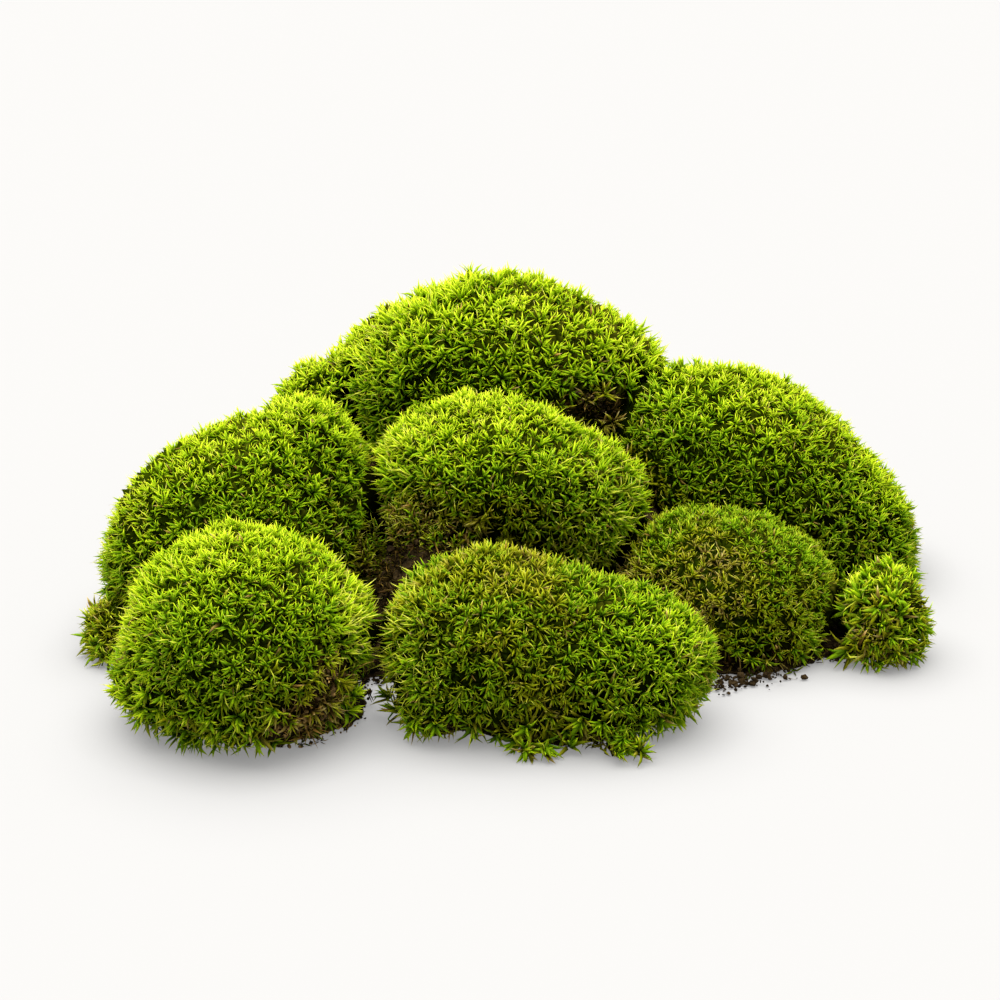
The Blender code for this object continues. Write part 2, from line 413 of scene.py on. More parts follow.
def refine(bm, surface, cuts):
    """Divides the triangles that show into finer ones."""
    edges = [
        edge for edge in bm.edges if any(surface.open[face.index] for face in edge.link_faces)
    ]
    bmesh.ops.subdivide_edges(bm, edges=edges, cuts=cuts, use_grid_fill=True)
    bmesh.ops.triangulate(bm, faces=bm.faces)
    bm.normal_update()


def unit(vectors):
    """The same directions, each one long."""
    return vectors / np.linalg.norm(vectors, axis=1)[:, None]


def drifting(points, size, shift=Vector((0, 0, 0))):
    """Smooth noise at each point, with hills about size apart."""
    return np.array([noise.noise(Vector(point) / size + shift) for point in points])


class Surface:
    """The triangles of one solid, with a normal at each corner and what lies against it."""

    def __init__(self, name):
        self.name = name
        bm = merged_copy(name)
        self.points, self.faces = points_and_faces(bm)
        self.tree = BVHTree.FromBMesh(bm)
        bm.free()
        a, b, c = (self.points[self.faces[:, k]] for k in range(3))
        cross = np.cross(b - a, c - a)
        self.areas = np.linalg.norm(cross, axis=1) / 2
        self.face_normals = cross / np.maximum(2 * self.areas, 1e-12)[:, None]
        self.centres = (a + b + c) / 3

    def find_open(self, others):
        """Marks the triangles that show at least in part, and averages their normals."""
        self.open = np.zeros(len(self.faces), bool)
        for index, (centre, normal) in enumerate(zip(self.centres, self.face_normals)):
            if normal[2] < -0.9 and centre[2] < 0.001:
                continue
            corners = self.points[self.faces[index]]
            for spot in (centre, *(centre + (corners - centre) * 0.75)):
                start = Vector(spot + normal * PROBE_LIFT)
                way = Vector(normal)
                if not any(other.tree.ray_cast(start, way, COVER_REACH)[0] for other in others):
                    self.open[index] = True
                    break
        self.normals, self.rim = self.average(self.open)
        self.walls, _ = self.average(~self.open)

    def average(self, chosen):
        """The mean normal of the chosen triangles at each corner, and where there is none."""
        normals = np.zeros_like(self.points)
        weights = self.areas * chosen
        for corner in range(3):
            np.add.at(normals, self.faces[:, corner], self.face_normals * weights[:, None])
        length = np.linalg.norm(normals, axis=1)
        return normals / np.maximum(length, 1e-12)[:, None], length < 1e-12

    def drawn_in(self, depth):
        """How each corner moves when the open surface goes down by depth inside the walls."""
        foot = np.clip(1 - self.points[:, 2] / INSET_FOOT, 0, 1)[:, None]
        moves = -self.normals * depth - self.normals * [1, 1, 0] * depth * 0.4 * foot
        through = np.maximum((moves * self.walls).sum(axis=1), 0)
        length = np.linalg.norm(moves, axis=1)
        moves -= self.walls * through[:, None]
        left = np.linalg.norm(moves, axis=1)
        moves *= np.minimum(length / np.maximum(left, 1e-9), 1.6)[:, None]
        seam = np.flatnonzero(~self.rim & (np.linalg.norm(self.walls, axis=1) > 0.5))
        inner = np.flatnonzero(self.rim)
        if len(seam) and len(inner):
            gaps = np.linalg.norm(self.points[inner, None] - self.points[None, seam], axis=2)
            nearest = gaps.argmin(axis=1)
            share = np.clip(1 - gaps.min(axis=1) / (1.8 * depth), 0, 1)
            follow = moves[seam[nearest]] * share[:, None]
            walls = self.walls[inner]
            moves[inner] = follow - walls * (follow * walls).sum(axis=1)[:, None]
        return moves


def scatter(surface, spacing, rng):
    """Points on the open triangles, no two nearer than spacing, with their normals."""
    area = surface.areas * surface.open
    count = int(area.sum() / spacing**2 * 7)
    picks = rng.choice(len(area), size=count, p=area / area.sum())
    mix = rng.random((count, 2))
    flip = mix.sum(axis=1) > 1
    mix[flip] = 1 - mix[flip]
    weights = np.column_stack([1 - mix.sum(axis=1), mix])
    corners = surface.faces[picks]
    points = np.einsum("nk,nkc->nc", weights, surface.points[corners])
    normals = np.einsum("nk,nkc->nc", weights, surface.normals[corners])
    normals /= np.maximum(np.linalg.norm(normals, axis=1), 1e-9)[:, None]
    cells = np.floor(points / spacing).astype(int)
    kept, grid = [], {}
    near = [(i, j, k) for i in (-1, 0, 1) for j in (-1, 0, 1) for k in (-1, 0, 1)]
    limit = spacing**2
    for index in range(count):
        point, (x, y, z) = points[index], cells[index]
        clear = True
        for i, j, k in near:
            for other in grid.get((x + i, y + j, z + k), ()):
                gap = points[other] - point
                if gap @ gap < limit:
                    clear = False
                    break
            if not clear:
                break
        if clear:
            grid.setdefault((x, y, z), []).append(index)
            kept.append(index)
    return points[kept], normals[kept]


def bareness(name, points):
    """How far the moss has gone from each point of a cushion, from 0 to 1."""
    share = np.zeros(len(points))
    for centre, reach in BARE.get(name, ()):
        away = np.linalg.norm(points / MM - np.array(centre), axis=1) / reach
        share = np.maximum(share, np.exp(-away**4))
    return np.clip(share * (1 + 0.8 * drifting(points, RAGGED_SIZE)), 0, 1)


def hollows(points, bare):
    """How much deeper the worn places are eaten away, in metres."""
    pits = drifting(points, PIT_SIZE, PIT_SHIFT)
    return np.clip(pits, 0, 0.5) * 2 * PIT_DEPTH * np.clip(bare * 1.5, 0, 1)


def bare_soil(spacing, rng):
    """Points with normals on the soil that shows, in the open and through worn moss."""
    points, normals = scatter(surfaces()["soil"], spacing, rng)
    points, normals = [points], [normals]
    for name in BARE:
        found, ways = scatter(surfaces()[name], spacing * WORN_DENSITY, rng)
        bare = bareness(name, found)
        pits = hollows(found, bare)
        worn = (bare > 0.35) & (pits < PIT_DEPTH * 0.4)
        depth = WORN_DEPTH + pits
        points.append(found[worn] - ways[worn] * depth[worn, None])
        normals.append(ways[worn])
    points, normals = np.concatenate(points), np.concatenate(normals)
    trees = [surface.tree for surface in surfaces().values()]
    shown = openness(points + normals * WORN_DEPTH, normals, trees, rng) > 0.04
    return points[shown], normals[shown]


def openness(points, normals, trees, rng):
    """The share of the sky over each point that the clump and the ground leave open."""
    ways = unit(rng.normal(size=(SKY_RAYS, 3)))
    shares = np.zeros(len(points))
    for index, (point, normal) in enumerate(zip(points, normals)):
        start = Vector(point + normal * SKY_LIFT)
        free = 0
        for way in ways:
            turned = Vector(way + normal * 1.05).normalized()
            if turned.z < 0 and -start.z / turned.z < SKY_GROUND:
                continue
            if not any(tree.ray_cast(start, turned, SKY_REACH)[0] for tree in trees):
                free += 1
        shares[index] = free / len(ways)
    return shares


# ------------------------------------------------------------ leaves and shoots

def in_order(faces):
    """The same triangles, each from its lowest corner on and in one fixed order."""
    first = faces.argmin(axis=1)[:, None]
    faces = np.take_along_axis(faces, (first + np.arange(3)) % 3, axis=1)
    return faces[np.lexsort(faces.T)]


def blade_form(rings):
    """A closed three-sided blade: its triangles and how far up, across and out each point is."""
    bm = bmesh.new()
    bmesh.ops.create_uvsphere(bm, u_segments=3, v_segments=rings + 1, radius=1.0)
    bmesh.ops.triangulate(bm, faces=bm.faces)
    bmesh.ops.recalc_face_normals(bm, faces=bm.faces)
    bm.verts.ensure_lookup_table()
    points, faces = points_and_faces(bm)
    bm.free()
    faces = in_order(faces)
    level = np.arccos(np.clip(-points[:, 2], -1, 1)) / math.pi
    half = np.interp(level, BLADE_LEVELS, BLADE_HALVES) * (np.abs(points[:, 2]) < 0.999)
    first = points[np.argmax(np.hypot(points[:, 0], points[:, 1]))]
    angle = np.arctan2(points[:, 1], points[:, 0]) - math.atan2(first[1], first[0])
    up = np.round(np.interp(level, BLADE_LEVELS, BLADE_UPS), 6)
    return faces, up, np.sin(angle) * half / 0.866, np.cos(angle) * half


def bend_blades(form, length, width, lean, curl, swing, turn, seat):
    """Blades that start at the axis: every one leans out, bends on and swings aside."""
    _, up, across, out = form
    length, width, lean, curl, swing, turn, seat = (
        value[..., None] for value in (length, width, lean, curl, swing, turn, seat)
    )
    levels, place = np.unique(up, return_inverse=True)
    steps = np.diff(levels)
    angle = lean + curl * (levels[:-1] + steps / 2)**HOOK
    foot = np.zeros_like(lean)
    away = np.concatenate([foot, np.cumsum(np.sin(angle) * steps, axis=-1)], axis=-1)
    rise = np.concatenate([foot, np.cumsum(np.cos(angle) * steps, axis=-1)], axis=-1)
    thick = out * width * BLADE_THICKNESS
    angle = lean + curl * up**HOOK
    away = away[..., place] + thick * np.cos(angle)
    rise = rise[..., place] - thick * np.sin(angle)
    side = across * width / 2 + swing * up**2
    cos, sin = np.cos(turn), np.sin(turn)
    return np.stack([
        (away * cos - side * sin) * length,
        (away * sin + side * cos) * length,
        rise * length + seat,
    ], axis=-1)


def thin_out(points, chosen, spacing):
    """Marks some of the chosen points, spacing apart, and those crowded by them."""
    marked = np.zeros(len(points), bool)
    crowded = np.zeros(len(points), bool)
    for index in np.flatnonzero(chosen):
        if crowded[index]:
            continue
        near = np.linalg.norm(points - points[index], axis=1) < spacing
        marked[index] = True
        crowded |= near
    return marked, crowded & ~marked


def frames_along(normals, rng):
    """A turn for each normal that takes +Z to it, with a random spin about it."""
    spin = rng.uniform(0, 2 * math.pi, len(normals))
    helper = np.where(np.abs(normals[:, 2:3]) < 0.9, [[0, 0, 1.0]], [[1.0, 0, 0]])
    side = unit(np.cross(helper, normals))
    other = np.cross(normals, side)
    cos, sin = np.cos(spin)[:, None], np.sin(spin)[:, None]
    return np.stack([side * cos + other * sin, other * cos - side * sin, normals], axis=2)


def off_the_ground(points):
    """Presses what would go through the ground into a thin layer on it."""
    height = points[:, 2]
    low = height < FLOOR_CLEAR
    points[low, 2] = FLOOR_CLEAR * np.exp((height[low] - FLOOR_CLEAR) / (8 * FLOOR_CLEAR))
    return points


def grow_shoots(seats, ways, sizes, tones, splays, rng, whorl, width, curl, hairs=0.0):
    """Shoots with the leaves of one whorl in a spiral: points, triangles and palette places."""
    form = blade_form(whorl.rings)
    shape = (len(seats), whorl.count)
    share = (np.arange(whorl.count) + 0.5) / whorl.count
    length = (0.74 + 0.34 * np.sqrt(share)) * rng.uniform(0.80, 1.15, shape)
    lean = splays[:, None] * (whorl.inner + (whorl.outer - whorl.inner) * share**0.9)
    lean = lean + rng.normal(0, 0.10, shape)
    bend = curl * rng.normal(0.55, 0.8, shape)
    swing = rng.normal(0, 0.22, shape)
    turn = GOLDEN_ANGLE * np.arange(whorl.count) + rng.normal(0, 0.25, shape)
    seat = whorl.seat * (1 - share)**1.2 + rng.normal(0, 0.03, shape)
    slim = width * rng.uniform(0.75, 1.2, shape)
    hair = rng.random(shape) < np.broadcast_to(hairs, len(seats))[:, None] + whorl.hair
    length = np.where(hair, length * HAIR_LENGTH, length)
    slim = np.where(hair, slim * HAIR_WIDTH, slim)
    blades = bend_blades(form, length, slim, lean, bend, swing, turn, seat)
    turns = frames_along(ways, rng) * sizes[:, None, None]
    points = np.einsum("nij,nlvj->nlvi", turns, blades) + seats[:, None, None, :]
    tone = tones[:, None] + whorl.tone + whorl.fade * (0.4 - share)
    tone = tone + rng.normal(0, 0.045, shape)
    tone = np.where(rng.random(shape) < WITHERED_SHARE, STRAW + rng.normal(0, 0.05, shape), tone)
    tone = np.where(hair, HAIR, np.clip(tone, 0.10, PALE + 0.01))
    across = tone[..., None] + form[2] * LEAF_STRIP / 2
    up = np.broadcast_to(form[1] * whorl.shade, across.shape)
    starts = np.arange(len(seats) * whorl.count)[:, None, None] * len(form[1])
    return (
        off_the_ground(points.reshape(-1, 3)), (form[0][None] + starts).reshape(-1, 3),
        np.stack([across, up], axis=-1).reshape(-1, 2),
    )


def thatch(surface, depth, rng):
    """The old growth under the leaves, dark as old growth is and darker still as painted shade
    between the leaves: the cushion's form, drawn in by depth.
    """
    bm = merged_copy(surface.name)
    for vert, move in zip(bm.verts, surface.drawn_in(depth)):
        if move.any():
            vert.co += Vector(move)
            vert.co.z = max(vert.co.z, THATCH_LIFT)
    refine(bm, surface, 1)
    shift = Vector(rng.uniform(0, 50, 3))
    spots = np.array([vert.co for vert in bm.verts])
    pits = hollows(spots, bareness(surface.name, spots))
    for vert, pit in zip(bm.verts, pits):
        vert.co += vert.normal * (noise.noise(vert.co / 0.003 + shift) * 0.0008 - pit)
        vert.co.z = max(vert.co.z, 0.0)
    base = set(bm.verts)
    small = [face for face in bm.faces if face.calc_area() < TUSSOCK_AREA and face.normal.z > -0.9]
    bmesh.ops.poke(bm, faces=small, offset=depth * TUSSOCK_RISE)
    bm.verts.ensure_lookup_table()
    for vert in bm.verts:
        if vert not in base:
            vert.co += Vector(rng.normal(0, depth * 0.08, 3))
            vert.co.z = max(vert.co.z, THATCH_LIFT)
    bm.normal_update()
    normals = np.array([vert.normal for vert in bm.verts])
    points, faces = points_and_faces(bm)
    tip = np.array([vert not in base for vert in bm.verts])
    bm.free()
    low, high = points.min(axis=0), points.max(axis=0)
    level = (points - low) / np.maximum(high - low, 1e-6)
    across = 0.004 + 0.05 * (level[:, 0] * 0.7 + level[:, 2] * 0.3)
    brown = np.clip(1 - points[:, 2] / FOOT_HEIGHT, 0, 1)
    brown = np.maximum(brown, np.clip(bareness(surface.name, points) * 2, 0, 1))
    across += (DEAD - across) * brown
    # Lighter on faces turned up, as painted light from above, on the raised points and towards the
    # back.
    top = np.clip(normals[:, 2], 0, 1)
    up = 0.02 + 0.08 * level[:, 1] + (0.15 + 0.35 * tip) * top + 0.25 * tip
    up *= 1 - 0.5 * brown
    return points, faces, np.column_stack([across, up])


def mesh_object(name, layers, material, smooth=True):
    """One mesh object from layers of (points, triangles, palette places or None)."""
    total, points, faces, places = 0, [], [], []
    for layer_points, layer_faces, layer_places in layers:
        points.append(layer_points)
        faces.append(layer_faces + total)
        places.append(layer_places)
        total += len(layer_points)
    points, faces = np.concatenate(points), np.concatenate(faces)
    mesh = bpy.data.meshes.new(name)
    mesh.vertices.add(len(points))
    mesh.vertices.foreach_set("co", points.astype(np.float32).ravel())
    mesh.loops.add(faces.size)
    mesh.loops.foreach_set("vertex_index", faces.astype(np.int32).ravel())
    mesh.polygons.add(len(faces))
    mesh.polygons.foreach_set("loop_start", np.arange(0, faces.size, 3, dtype=np.int32))
    mesh.update(calc_edges=True)
    mesh.validate()
    if places[0] is not None:
        layer = mesh.uv_layers.new(name=PALETTE_MAP)
        places = np.concatenate(places)
        layer.data.foreach_set("uv", places[faces.ravel()].astype(np.float32).ravel())
    mesh.polygons.foreach_set("use_smooth", np.full(len(faces), smooth))
    mesh.materials.append(material)
    item = bpy.data.objects.new(name, mesh)
    bpy.context.scene.collection.objects.link(item)
    return item


# ------------------------------------------------------------ materials

def new_material(name):
    """An empty node material, its nodes and its links."""
    old = bpy.data.materials.get(name)
    if old:
        bpy.data.materials.remove(old)
    material = bpy.data.materials.new(name)
    material.use_nodes = True
    nodes = material.node_tree.nodes
    nodes.clear()
    return material, nodes, material.node_tree.links


def add_node(nodes, kind, values):
    """A new shader node with values on some of its sockets."""
    node = nodes.new("ShaderNode" + kind)
    for socket, value in values.items():
        node.inputs[socket].default_value = value
    return node


def ramp(nodes, stops):
    """A colour ramp with these (position, colour) stops."""
    node = nodes.new("ShaderNodeValToRGB")
    elements = node.color_ramp.elements
    elements[0].position, elements[1].position = stops[0][0], stops[-1][0]
    elements[0].color, elements[1].color = (*stops[0][1], 1), (*stops[-1][1], 1)
    for position, colour in stops[1:-1]:
        elements.new(position).color = (*colour, 1)
    return node


def mixed(nodes, links, share, first, second):
    """The colour between two others, by a share."""
    mix = nodes.new("ShaderNodeMix")
    mix.data_type = "RGBA"
    for value, socket in ((share, "Factor"), (first, "A"), (second, "B")):
        links.new(value, mix.inputs[socket])
    return mix.outputs["Result"]


def to_output(nodes, links, shader):
    """Makes a shader the material's surface."""
    output = nodes.new("ShaderNodeOutputMaterial")
    links.new(shader.outputs[0], output.inputs["Surface"])


def leaf_material():
    """Leaves coloured by the palette map, that let some light through."""
    settings = bpy.context.scene.moss_settings
    material, nodes, links = new_material("moss_leaves")
    place = nodes.new("ShaderNodeUVMap")
    place.uv_map = PALETTE_MAP
    split = nodes.new("ShaderNodeSeparateXYZ")
    links.new(place.outputs["UV"], split.inputs[0])
    ramps = [ramp(nodes, stops) for _, stops in PALETTE]
    for this in ramps:
        links.new(split.outputs["Y"], this.inputs["Fac"])
    colour = ramps[0].outputs["Color"]
    for (below, _), (tone, _), this in zip(PALETTE, PALETTE[1:], ramps[1:]):
        share = add_node(nodes, "MapRange", {"From Min": below, "From Max": tone})
        links.new(split.outputs["X"], share.inputs["Value"])
        colour = mixed(nodes, links, share.outputs["Result"], colour, this.outputs["Color"])
    surface = add_node(nodes, "BsdfPrincipled", {"Roughness": settings.leaf_roughness})
    links.new(colour, surface.inputs["Base Color"])
    gloss = add_node(nodes, "MapRange", {
        "From Min": THATCH + 0.04, "From Max": DEAD, "To Max": settings.leaf_gloss,
    })
    links.new(split.outputs["X"], gloss.inputs["Value"])
    links.new(gloss.outputs["Result"], surface.inputs["Specular IOR Level"])
    through = nodes.new("ShaderNodeBsdfTranslucent")
    links.new(colour, through.inputs["Color"])
    both = add_node(nodes, "MixShader", {"Fac": settings.leaf_glow})
    links.new(surface.outputs[0], both.inputs[1])
    links.new(through.outputs[0], both.inputs[2])
    to_output(nodes, links, both)
    return material


def soil_material():
    """Dark crumbs with paler flecks and a rough grain: paler where dry at the corner, darker
    elsewhere as damp soil and painted shade in the crevices.
    """
    base = np.array(bpy.context.scene.moss_settings.soil_colour)
    material, nodes, links = new_material("soil")
    place = nodes.new("ShaderNodeTexCoord")
    clods = add_node(nodes, "TexNoise", {"Scale": 260.0, "Detail": 6.0, "Roughness": 0.65})
    grain = add_node(nodes, "TexNoise", {"Scale": 1400.0, "Detail": 4.0})
    away = nodes.new("ShaderNodeVectorMath")
    away.operation = "DISTANCE"
    away.inputs[1].default_value = DRY_CORNER
    for node in (clods, grain):
        links.new(place.outputs["Object"], node.inputs["Vector"])
    links.new(place.outputs["Object"], away.inputs[0])
    dry = ramp(nodes, (
        (0.42, base * 0.05), (0.53, base * 0.70),
        (0.62, (0.430, 0.270, 0.080)), (0.70, (0.780, 0.540, 0.220)),
    ))
    # Away from the dry corner the soil is darker: damp, and painted shade in the crevices.
    damp_and_shade = ramp(nodes, (
        (0.40, base * 0.03), (0.54, base * 0.18),
        (0.65, (0.050, 0.033, 0.014)), (0.76, (0.130, 0.094, 0.045)),
    ))
    for this in (dry, damp_and_shade):
        links.new(clods.outputs["Fac"], this.inputs["Fac"])
    dampness_and_shade = add_node(nodes, "MapRange", {
        "From Min": DRY_REACH * 0.8, "From Max": DRY_REACH * 1.3,
    })
    links.new(away.outputs["Value"], dampness_and_shade.inputs["Value"])
    colour = mixed(
        nodes, links, dampness_and_shade.outputs["Result"], dry.outputs["Color"], damp_and_shade.outputs["Color"],
    )
    bump = add_node(nodes, "Bump", {"Strength": 0.8, "Distance": 0.0006})
    links.new(grain.outputs["Fac"], bump.inputs["Height"])
    surface = add_node(nodes, "BsdfPrincipled", {"Roughness": 0.9, "Specular IOR Level": 0.05})
    links.new(colour, surface.inputs["Base Color"])
    links.new(bump.outputs["Normal"], surface.inputs["Normal"])
    to_output(nodes, links, surface)
    return material


def floor_material():
    """A pale floor with some light of its own, less of it close to the clump."""
    settings = bpy.context.scene.moss_settings
    material, nodes, links = new_material("studio_floor")
    surface = add_node(nodes, "BsdfPrincipled", {
        "Base Color": (*settings.floor_colour, 1), "Roughness": 0.6, "Specular IOR Level": 0.0,
        "Emission Color": (1.0, 0.992, 0.985, 1),
    })
    contact = add_node(nodes, "AmbientOcclusion", {"Distance": CONTACT_REACH})
    glow = add_node(nodes, "MapRange", {
        "To Min": settings.floor_glow * CONTACT_SHADE, "To Max": settings.floor_glow,
    })
    links.new(contact.outputs["AO"], glow.inputs["Value"])
    links.new(glow.outputs["Result"], surface.inputs["Emission Strength"])
    to_output(nodes, links, surface)
    return material


# ------------------------------------------------------------ operators

SURFACES = {}


def surfaces():
    """Every solid's surface, read once."""
    if not SURFACES:
        SURFACES.update({name: Surface(name) for name in sorted(NODES)})
        for name, surface in SURFACES.items():
            surface.find_open([other for key, other in SURFACES.items() if key != name])
    return SURFACES


# The shoots of one cushion: where they stand, which way they point, their size, tone and
# splay, the share of their leaves that end in hairs, and which are stars or stand in light.
Shoots = namedtuple("Shoots", "seats ways sizes tones splays hairs stars lit")


def plan_shoots(look, order, surface, trees, rng):
    """Spreads shoots over what shows of a cushion and suits them to their place."""
    points, normals = scatter(surface, look.spacing, rng)
    light = openness(points, normals, trees, rng)
    bare = bareness(look.node, points)
    shown = light > np.where(points[:, 2] < EDGE_HEIGHT, 0.0, HIDDEN)
    keep = shown & (rng.random(len(points)) > bare * 1.3 - 0.3)
    points, normals, light, bare = points[keep], normals[keep], light[keep], bare[keep]
    height = points[:, 2]
    foot = np.clip(1 - height / FOOT_HEIGHT, 0, 1)

    # Shoots lean together in tufts, each about a heart.
    tuft = look.spacing * HEART_SPACING
    hearts, _ = scatter(surface, tuft, rng)
    gaps = np.linalg.norm(points[:, None] - hearts[None], axis=2)
    off_heart = gaps.min(axis=1) / tuft
    to_heart = (hearts[gaps.argmin(axis=1)] - points) / look.spacing

    shift = Vector((order * 9.1, order * 4.7, order * 2.3))
    tones = look.tone + look.wander * 1.6 * drifting(points, DRIFT_SIZE, shift)
    # Faces turned up get a higher, paler tone: painted light from above.
    tones += 0.16 * np.maximum(normals[:, 2], 0)**2
    tones += rng.normal(0, 0.03, len(points))
    growth = np.ones(len(points))
    hairs = np.zeros(len(points))
    sunk = np.zeros(len(points))
    for centre, reach, change, extra in LOOKS[look.node].patches:
        near = np.exp(-(np.linalg.norm(points / MM - np.array(centre), axis=1) / reach)**2)
        tones += change * near
        growth += max(extra, 0) * near
        hairs += 0.5 * max(extra, 0) * near
        sunk += max(-extra, 0) * near
    # Where little sky is open the tone falls towards olive and straw, browner and darker: painted
    # shade in the hollows. Worn places turn brown.
    tones += np.where(light < DIM, (light - DIM) * 0.45, 0) - 0.3 * bare
    # Near the ground the tone rises to paler, lighter greens: painted light from the floor.
    tones += 0.08 * np.clip(1 - height / 0.020, 0, 1)
    growth += 0.25 * foot + np.clip(0.35 - light, 0, 0.35)
    sizes = look.leaf_length * growth * rng.uniform(0.82, 1.18, len(points))
    splays = look.splay * (1 + 0.9 * foot) * rng.uniform(0.8, 1.2, len(points))
    ways = normals + rng.normal(0, 0.11, normals.shape) + [0, 0, 0.10]
    ways = unit(ways + 0.15 * to_heart)

    depth = 0.92 + 0.42 * off_heart + rng.normal(0, 0.06, len(points))
    depth = look.leaf_length * depth
    low = height < look.star_height * rng.uniform(0.4, 1.2, len(points))
    stars, crowded = thin_out(points, low & (light > 0.15), look.spacing * STAR_SPACING)
    lit = (light >= DARK) & ~stars & ~crowded
    sizes[stars] *= 1.18
    splays[stars] *= 1.25
    depth *= (1 - 0.4 * foot) * growth**0.8
    depth += look.leaf_length * sunk
    depth[crowded] += look.leaf_length * 0.15
    seats = points - normals * depth[:, None]
    seats[:, 2] = np.maximum(seats[:, 2], 0.0005)
    return Shoots(seats, ways, sizes, tones, splays, hairs, stars, lit)


def foot_stars(look, surface, settings, rng):
    """Star shoots that lean out from a cushion's foot, as a list of one layer or none."""
    places = FOOT_STARS.get(look.node, ())
    if not places:
        return []
    places = np.array(places) * MM
    away = places - surface.points.mean(axis=0)
    away[:, 2] = 0
    away = unit(away)
    sizes = look.leaf_length * rng.uniform(1.1, 1.45, len(places))
    tones = look.tone + rng.normal(0, 0.06, len(places))
    return [grow_shoots(
        places - away * look.leaf_length * 0.5, away * 0.8 + [0, 0, 0.6], sizes, tones,
        np.full(len(places), 0.8), rng, STAR, settings.leaf_width * 1.1, settings.leaf_curl,
    )]


class MOSS_OT_cushions(bpy.types.Operator):
    """Grow leafy shoots over every moss cushion"""

    bl_idname = "moss.cushions"
    bl_label = "Moss Cushions"

    def execute(self, context):
        settings = context.scene.moss_settings
        trees = [surface.tree for surface in surfaces().values()]
        material = leaf_material()
        for order, look in enumerate(context.scene.moss_looks):
            rng = np.random.default_rng(CUSHION_SEED + order)
            surface = surfaces()[look.node]
            shoots = plan_shoots(look, order, surface, trees, rng)
            layers = [thatch(surface, look.leaf_length * THATCH_DEPTH, rng)]
            for chosen, whorl, width in (
                (shoots.lit, HEART, 1.0), (shoots.lit, CROWN, 1.0), (shoots.lit, SKIRT, 1.0),
                (shoots.stars, STAR, 1.2), (~shoots.lit & ~shoots.stars, SHADED, 1.0),
            ):
                if chosen.any():
                    seats, ways, sizes, tones, splays, hairs = (
                        values[chosen] for values in shoots[:6]
                    )
                    layers.append(grow_shoots(
                        seats, ways, sizes, tones, splays, rng, whorl,
                        settings.leaf_width * width, settings.leaf_curl, hairs,
                    ))
            layers += foot_stars(look, surface, settings, rng)
            item = mesh_object(look.node + "_moss", layers, material)
            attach(item, "root")
            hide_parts(look.node)
        return {"FINISHED"}


class MOSS_OT_soil(bpy.types.Operator):
    """Make the crumbly bed of soil"""

    bl_idname = "moss.soil"
    bl_label = "Soil"

    def execute(self, context):
        bm = merged_copy("soil")
        refine(bm, surfaces()["soil"], BED_CUTS)
        for vert in bm.verts:
            if vert.co.z < 0.0002 and vert.normal.z < -0.95:
                continue
            clod = noise.turbulence(
                vert.co / CLOD_SIZE, 4, True, noise_basis="PERLIN_ORIGINAL",
            )
            grain = noise.noise(vert.co / GRAIN_SIZE)
            drift = Vector((noise.noise(vert.co / 0.004), noise.noise(vert.co / 0.005), 0.0))
            rise = (clod - 1.0) * CLOD_HEIGHT + grain * GRAIN_HEIGHT
            vert.co += vert.normal * rise + drift * BED_DRIFT
            vert.co.z = max(vert.co.z, 0.0)
        mesh = bpy.data.meshes.new("soil_bed")
        bm.to_mesh(mesh)
        bm.free()
        mesh.materials.append(soil_material())
        item = bpy.data.objects.new("soil_bed", mesh)
        context.scene.collection.objects.link(item)
        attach(item, "root")
        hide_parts("soil")
        return {"FINISHED"}


class MOSS_OT_crumbs(bpy.types.Operator):
    """Strew crumbs over the soil that shows"""

    bl_idname = "moss.crumbs"
    bl_label = "Soil Crumbs"

    def execute(self, context):
        rng = np.random.default_rng(CRUMB_SEED)
        spacing = context.scene.moss_settings.crumb_spacing
        points, normals = bare_soil(spacing, rng)
        for (x, y), (wide, deep), count in SPILT:
            spilt = np.column_stack([
                rng.normal(x, wide, count), rng.normal(y, deep, count), np.full(count, 0.4),
            ]) * MM
            points = np.concatenate([points, spilt])
            normals = np.concatenate([normals, np.tile([0.0, 0.0, 1.0], (count, 1))])
        bm = bmesh.new()
        bmesh.ops.create_icosphere(bm, subdivisions=1, radius=0.5)
        form, faces = points_and_faces(bm)
        bm.free()
        count = len(points)
        lumps = form[None] * rng.uniform(0.62, 1.25, (count, len(form), 1))
        lumps *= rng.uniform(0.6, 1.3, (count, 1, 3))
        sizes = np.clip(rng.lognormal(math.log(CRUMB_SIZE), 0.42, count), *CRUMB_RANGE)
        ways = unit(rng.normal(size=(count, 3)))
        turns = frames_along(ways, rng) * sizes[:, None, None]
        seats = points + normals * rng.uniform(-0.0006, 0.0012, (count, 1))
        solid = np.einsum("nij,nvj->nvi", turns, lumps) + seats[:, None, :]
        starts = np.arange(count)[:, None, None] * len(form)
        solid = off_the_ground(solid.reshape(-1, 3))
        layer = (solid, (faces[None] + starts).reshape(-1, 3), None)
        item = mesh_object("soil_crumbs", [layer], bpy.data.materials["soil"], smooth=False)
        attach(item, "root")
        return {"FINISHED"}


